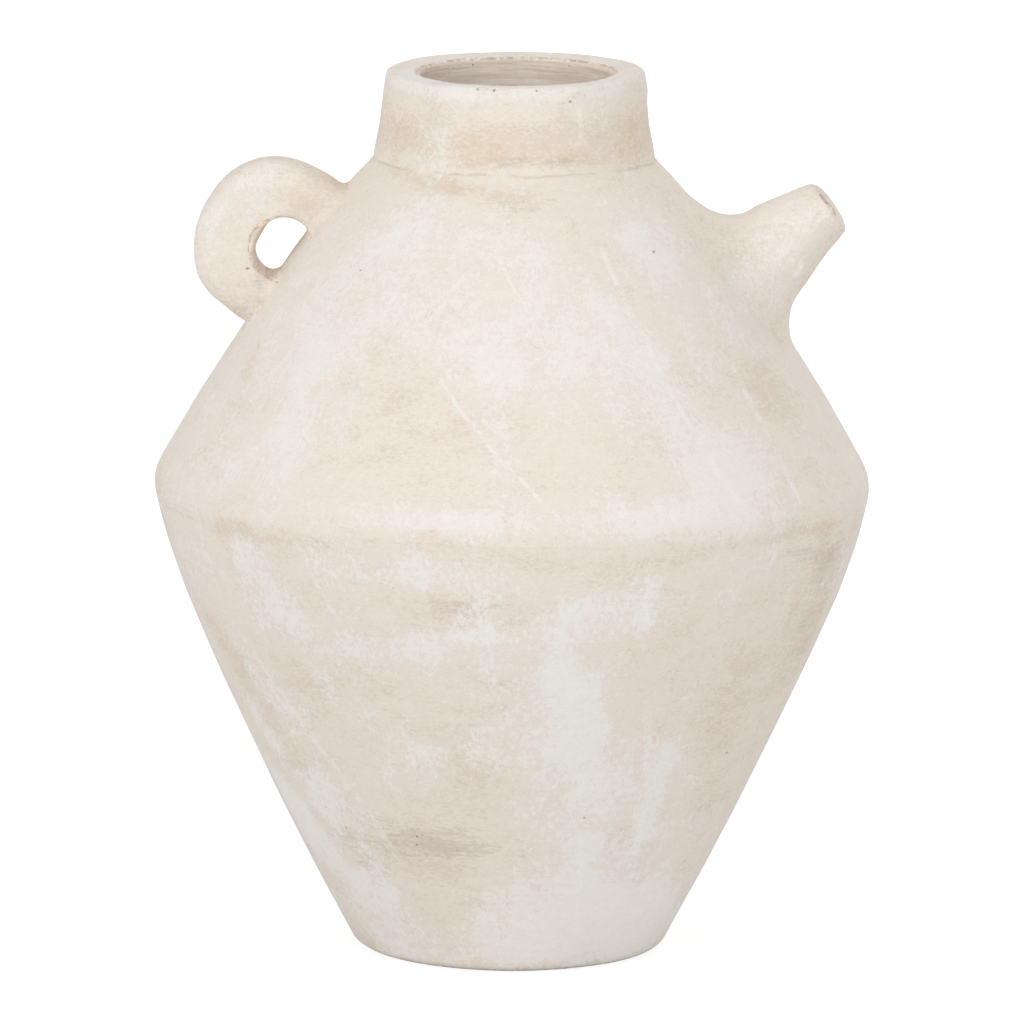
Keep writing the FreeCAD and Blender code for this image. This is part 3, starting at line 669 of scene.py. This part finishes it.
SHOULDER_OUTSIDE = [(123.5, 160.1), (123.9, 164), (122.7, 167.3), (119.8, 172.3), (115.3, 180), (109.5, 190),
                    (101.9, 202), (93.5, 215), (84.0, 230), (75.2, 243), (66.1, 255), (59.0, 263), (54.8, 268),
                    (50.9, 272), (48.7, 274.5)]
SPOUT_SEAT = Vector((78.96, 0, 236.5))
SPOUT_RISE = math.radians(37)
SPOUT_LINE = Vector((math.cos(SPOUT_RISE), 0, math.sin(SPOUT_RISE)))
on_spout = Matrix.Translation(SPOUT_SEAT) @ SPOUT_LINE.to_track_quat("Z", "Y").to_matrix().to_4x4()

shoulder_shape = handmade(turned(section_of(SHOULDER_OUTSIDE + SHOULDER_INSIDE + [(111.8, 158.6)], 2.0,
                                            eased=(161, 271.5))))
dome = BVHTree.FromBMesh(shoulder_shape)
shoulder = fired("shoulder", shoulder_shape, limewash)

# The piercing tool: a slim cone that follows the spout's bore through the wall
tool_shape = bmesh.new()
bmesh.ops.create_cone(tool_shape, cap_ends=True, segments=72, radius1=11.1, radius2=7.8, depth=30)
bmesh.ops.transform(tool_shape, matrix=Matrix.Scale(0.001, 4) @ on_spout @ Matrix.Translation((0, 0, -6)),
                    verts=tool_shape.verts[:])
tool_mesh = bpy.data.meshes.new("piercing_tool")
tool_shape.to_mesh(tool_mesh)
tool_shape.free()
tool = bpy.data.objects.new("piercing_tool", tool_mesh)
bpy.context.scene.collection.objects.link(tool)
pierce = shoulder.modifiers.new("pierce", "BOOLEAN")
pierce.object, pierce.operation, pierce.solver = tool, "DIFFERENCE", "EXACT"
bpy.context.view_layer.update()
pierced = bpy.data.meshes.new_from_object(shoulder.evaluated_get(bpy.context.evaluated_depsgraph_get()))
shoulder.modifiers.clear()
shoulder.data = pierced
bpy.data.objects.remove(tool)
wash(shoulder, wall_inside)
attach(shoulder, "root")
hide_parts("shoulder_wall")

# ---------------------------------------------------------------------------------------------
# Belly seam coil
# A flat band of soft clay pressed over the inside of the joint at the widest line, with the same
# fingertip dents. It is bare fired clay and can't be seen from outside.

BELLY_COIL = [(111.3, 156.1), (110.3, 157.6), (109.2, 160), (108.5, 162.5), (108.4, 164.3), (108.5, 165.8),
              (108.9, 167.6), (109.7, 170.0), (111.3, 167.2), (112.9, 164.3), (112.4, 161.6)]
belly_coil_shape = turned(section_of(BELLY_COIL, 1.0), 360)
pressed(belly_coil_shape, dents=34, depth=0.7, hidden=lambda out, up: out > 109.9)
belly_coil = fired("belly_coil", belly_coil_shape, bare_clay)
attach(belly_coil, "root")
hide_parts("belly_seam_coil")

# ---------------------------------------------------------------------------------------------
# Neck collar
# A short thick collar, rolled as a strap, joined into a ring and set on the shoulder. Its rim is
# wiped flat with both edges softened, and the wash stops a little way down inside.

COLLAR_OUTSIDE = [(48.7, 274.5), (48.0, 279), (46.45, 287), (45.5, 297), (44.6, 305)]
collar_shape = handmade(turned(section_of(COLLAR_OUTSIDE + COLLAR_INSIDE, 1.2, roundings=[(4, 1.6, 6), (5, 1.6, 6)],
                                          eased=(275.5, 300)), 420))
collar = fired("collar", collar_shape, limewash)
wash(collar, wall_inside)
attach(collar, "root")
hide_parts("neck_collar")

# ---------------------------------------------------------------------------------------------
# Loop handle
# A thick flat loop for one finger, cut or bent from a slab, with softened edges. Both feet are
# luted to scored clay on the shoulder and smeared down all round.

HOLE_CENTRE = Vector((-79.9, 0, 244.0))
HOLE_RADIUS, LOOP_RADIUS, LOOP_WIDTH = 11.2, 29.0, 28.0
LOOP_SHIFT = Vector((-1.05, 0, 0.4))      # the outer edge isn't quite centred on the hole
# Where the hand-bent loop leaves a true round: degrees up from the spout's side, spread, millimetres out
LOOP_BENDS = [(67, 21, -0.95), (106, 16, 0.4), (146, 20, -0.45), (182, 20, 0.25), (214, 22, 1.1)]
LOOP_CORNER = Vector((-0.72, 0, -0.69))   # the way to its lower left, which is cut off a little straighter
HOLE_PINCH, PINCH_LEAN = 1.9, 1.3         # the hole is tighter at its upper left, and more so behind its mouth
FILLET, LOW_FILLET = 3.4, 1.3             # the smeared clay round the two feet
HANDLE_SEAT = Vector((-77.1, 0, 239.0))
HANDLE_OUT = Vector((-0.8, 0, 0.6))       # straight out of the shoulder there

loop_shape = bmesh.new()
front, back = -LOOP_WIDTH / 2, LOOP_WIDTH / 2
corner = [loop_shape.verts.new((out, side, 0)) for out, side in
          ((HOLE_RADIUS, front), (LOOP_RADIUS, front), (LOOP_RADIUS, back), (HOLE_RADIUS, back))]
loop_shape.faces.new(corner)
for point, cut, facets in ((corner[0], 1.5, 5), (corner[3], 3.0, 6), (corner[1], 6.0, 9), (corner[2], 6.0, 9)):
    bmesh.ops.bevel(loop_shape, geom=[point], offset=cut, offset_type="OFFSET", affect="VERTICES", segments=facets,
                    profile=0.5, material=-1)
for edge in [e for e in loop_shape.edges if e.calc_length() > 1.3]:
    bmesh.ops.subdivide_edges(loop_shape, edges=[edge], cuts=round(edge.calc_length()) - 1)
bmesh.ops.delete(loop_shape, geom=loop_shape.faces[:], context="FACES_ONLY")
bmesh.ops.spin(loop_shape, geom=loop_shape.verts[:] + loop_shape.edges[:], cent=(0, 0, 0), axis=(0, 1, 0),
               dvec=(0, 0, 0), angle=math.tau, steps=280, use_merge=True)
for point in loop_shape.verts:
    way = Vector((point.co.x, 0, point.co.z)).normalized()
    share = (math.hypot(point.co.x, point.co.z) - HOLE_RADIUS) / (LOOP_RADIUS - HOLE_RADIUS)
    edge_out = way.dot(LOOP_SHIFT) + math.sqrt(LOOP_RADIUS ** 2 - LOOP_SHIFT.length_squared + way.dot(LOOP_SHIFT) ** 2)
    edge_out -= 1.7 * math.exp(-(way.angle(LOOP_CORNER) / 0.36) ** 2)
    turn = math.degrees(math.atan2(way.z, way.x)) % 360
    edge_out += sum(bend * math.exp(-((turn - at) / spread) ** 2) for at, spread, bend in LOOP_BENDS)
    # the hole was bored from the front and leans
    deep = min(1.0, (point.co.y / LOOP_WIDTH + 0.5) / 0.45)
    pinch = HOLE_PINCH + PINCH_LEAN * deep * deep * (3 - 2 * deep)
    hole_out = HOLE_RADIUS - pinch * math.exp(-((turn - 150) / 50) ** 2)
    reach = hole_out + share * (edge_out - hole_out)
    point.co = HOLE_CENTRE + way * reach + Vector((0, point.co.y, 0))
bmesh.ops.bisect_plane(loop_shape, geom=loop_shape.verts[:] + loop_shape.edges[:] + loop_shape.faces[:], dist=1e-4,
                       plane_co=HANDLE_SEAT - HANDLE_OUT * 4.5, plane_no=HANDLE_OUT, clear_inner=True)
bmesh.ops.holes_fill(loop_shape, edges=[e for e in loop_shape.edges if e.is_boundary], sides=0)
bmesh.ops.recalc_face_normals(loop_shape, faces=loop_shape.faces[:])
loop_shape.normal_update()
smeared = []
for point in loop_shape.verts:
    under, outward, _, _ = dome.find_nearest(point.co)
    above = (point.co - under).dot(outward)
    low_root = point.co.z < 226 and point.co.x < -84
    fillet = LOW_FILLET if low_root else FILLET
    sideways = point.normal - outward * point.normal.dot(outward)
    here = min(max(above + 0.04, 0.0), fillet)
    spread = fillet - math.sqrt(max(0.0, fillet ** 2 - (fillet - here) ** 2))
    lumps = 0.45 * noise.noise(point.co / 13 + Vector((5, 1, 8))) + 0.12 * noise.noise(point.co / 4)
    lumps *= min(1.0, max(0.0, (above - 2) / 8))
    flare = sideways.normalized() * spread if sideways.length > 0.15 else Vector()
    smeared.append(point.co + flare + point.normal * lumps)
for point, place in zip(loop_shape.verts, smeared):
    point.co = place
handle = fired("loop_handle", loop_shape, limewash)


def touch_up(piece, spots, bare):
    """Washes the handle or the spout with the jar's strokes, fainter, and adds its own spots of wash, stain and painted
    light: (what, (x, y, z), reach, strength)"""
    wash(piece, bare)
    places = places_on(piece.data)
    layer = piece.data.attributes["wash"].data
    masks = np.empty(len(layer) * 4, np.float32)
    layer.foreach_get("color", masks)
    masks = masks.reshape(-1, 4)
    masks *= (0.15, 0.3, 0.3, 0.3)
    masks[:, WASH_KINDS.index("thin")] += 0.4
    for kind, spot, reach, strength in spots:
        touch = strength * np.exp(-((places - np.array(spot)) ** 2).sum(1) / reach ** 2)
        column = WASH_KINDS.index(kind)
        masks[:, column] = 1 - (1 - masks[:, column]) * (1 - touch)
    layer.foreach_set("color", masks.ravel())


HANDLE_SPOTS = [
    ("white", (-104, -14, 236), 9, 0.35), ("white", (-84, -14, 268), 10, 0.4), ("white", (-100, -12, 256), 7, 0.3),
    ("white", (-84, 14, 266), 12, 0.45), ("white", (-80, 0, 272), 12, 0.35),
    ("thin", (-96, -14, 228), 9, 0.8), ("thin", (-74, -14, 262), 8, 0.6), ("thin", (-106, 0, 250), 9, 0.6),
    ("thin", (-100, 14, 232), 10, 0.7),
    ("soil", (-94, -13, 222), 4, 0.6), ("soil", (-87, -13, 232.5), 3, 0.95), ("soil", (-66, -13, 262), 4, 0.5),
    ("ochre", (-57, -6, 266), 8, 0.9), ("ochre", (-93, -4, 216), 7, 0.8), ("ochre", (-58, 6, 266), 8, 0.7)]
# Ochre spots round the wall of the finger hole: its ochre stain, and painted warm light bounced inside the hole
HANDLE_SPOTS += [("ochre", (HOLE_CENTRE.x + 11 * math.cos(turn), side, HOLE_CENTRE.z + 11 * math.sin(turn)), 3.2, 0.8)
                 for turn in (0.3, 0.9, 1.5, 2.1, 2.7, 3.3, 3.9, 4.4, 4.9, 5.4) for side in (-10, -5, 0, 5, 10)]


def finger_hole(places, out):
    """1 on the wall of the finger's hole, 0 on the rest of the handle"""
    from_middle = np.hypot(places[:, 0] - HOLE_CENTRE.x, places[:, 2] - HOLE_CENTRE.z)
    return np.clip((HOLE_RADIUS + 0.15 - from_middle) / 0.35, 0, 1)


touch_up(handle, HANDLE_SPOTS, finger_hole)
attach(handle, "root")
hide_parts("handle")

# ---------------------------------------------------------------------------------------------
# Spout
# A hollow cone of clay, rolled round a stick, cut off square at the tip and luted over the pierced
# hole. Its foot is smeared out into the shoulder in one broad sweep, and dabs of wash stand on it.

TIP, BORE_AT_TIP, BORE_TAPER = 36.5, 3.1, 0.16        # the tip's height over the seat, and the bore's radius
SPOUT_OUTLINE = [(9.0, -2.6), (BORE_AT_TIP, TIP), (9.85, TIP), (19.3, 0.0), (36.0, -0.05), (36.0, -2.6)]
spout_shape = turned(section_of(SPOUT_OUTLINE, 1.1, roundings=[(1, 0.8, 4), (2, 0.9, 5), (3, 14.7, 26)]), 220)
# Dabs of thick wash: (x, y, z), reach, height
DABS = [
    # the two curls of a lifted brush on the front
    ((91.6, -15.6, 242.7), 1.4, 0.9), ((93.6, -15.0, 244.5), 1.3, 1.0), ((95.4, -13.8, 240.9), 1.3, 0.6),
    ((96.6, -11.4, 236.2), 1.4, 0.9), ((98.2, -11.4, 238.6), 1.3, 0.8),
    # crumbs round the tip
    ((104.6, -11.0, 254.0), 1.6, 0.5), ((101, -11.8, 252.0), 2.4, 0.4), ((106.9, -9.9, 259.1), 1.3, 0.8),
    ((107.9, -10.0, 257.4), 1.2, 0.75), ((105.7, -9.4, 260.8), 1.4, 0.4), ((103, 9, 259), 2.5, 0.5),
    # soft lumps on the cone
    ((90, -18, 250), 3.5, 0.3), ((88, 19, 246), 3.0, 0.6)]
draped = []
spout_shape.normal_update()
for point in spout_shape.verts:
    # the foot sags a little down the slope, and the bore comes out a little high
    tall = point.co.z
    sideways = on_spout.to_3x3() @ Vector((point.co.x, point.co.y, 0))
    top_side = 0.5 + 0.5 * sideways.z / max(4.0, sideways.length) / math.cos(SPOUT_RISE)
    sag = top_side * (2.6 * min(1.0, max(0.0, (16.5 - tall) / 12.5)) - 0.3)
    sag += 1.4 * (1 - top_side) * math.exp(-((tall - 13) / 8) ** 2)
    if tall > 0:
        point.co.y -= sag * min(1.0, tall / 2)
    if tall > 22:
        point.co.z += (0.17 * max(0.0, sideways.y) + 0.3 * noise.noise(sideways / 6)) * (tall - 22) / 14.5
    if math.hypot(point.co.x, point.co.y) < BORE_AT_TIP + 1.5 + (TIP - tall) * BORE_TAPER:
        point.co.y += 2.2 * max(0.0, tall / TIP)
    start = on_spout @ Vector((point.co.x, point.co.y, 60))
    hit, _, _, _ = dome.ray_cast(start, -SPOUT_LINE)
    fall = (on_spout.inverted() @ hit).z
    fade = min(1.0, max(0.0, (tall - 7) / 19))
    place = on_spout @ (point.co + Vector((0, 0, fall * (1 - fade * fade * (3 - 2 * fade)))))
    outward = (on_spout.to_3x3() @ point.normal)
    lumps = 0.5 * noise.noise(place / 14 + Vector((3, 6, 2))) + 0.15 * noise.noise(place / 5)
    lumps *= min(1.0, max(0.0, (point.co.z - 1) / 8))
    if math.hypot(point.co.x, point.co.y) < 9.1 and point.co.z < 35.4:
        lumps = 0.0
    for spot, reach, height in DABS:
        lumps += height * math.exp(-((place - Vector(spot)).length / reach) ** 2)
    draped.append(place + outward * lumps)
for point, place in zip(spout_shape.verts, draped):
    point.co = place
spout = fired("spout_cone", spout_shape, limewash)


def spout_bore(places, out):
    """1 inside the spout's bore, 0 on its outside"""
    local = np.array([list(on_spout.inverted() @ Vector(place)) for place in places])
    bore = BORE_AT_TIP + (TIP - local[:, 2]) * BORE_TAPER
    return np.clip(bore + 0.9 - np.hypot(local[:, 0], local[:, 1]), 0, 1)


SPOUT_SPOTS = [
    ("white", (93, -15, 243.5), 3.5, 1.0), ("white", (97.4, -11.4, 237.8), 3, 0.9),
    ("white", (107.4, -9.9, 258), 2.6, 1.0), ("white", (84, -20, 236), 14, 0.55), ("white", (77, -24, 238), 10, 0.7),
    ("white", (98, -10, 256), 7, 0.3), ("white", (90, 16, 246), 9, 0.7),
    ("thin", (88, -12, 232), 9, 0.3), ("thin", (78, -24, 246), 9, 0.4), ("thin", (100, 0, 264), 6, 0.6),
    ("thin", (84, 18, 236), 8, 0.6),
    ("soil", (110, -6, 256), 4, 0.6), ("soil", (94, -10, 228), 6, 0.2),
    ("ochre", (72, -18, 252), 8, 0.3), ("ochre", (104, -3, 248), 5, 0.5)]
touch_up(spout, SPOUT_SPOTS, spout_bore)
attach(spout, "root")
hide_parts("spout")
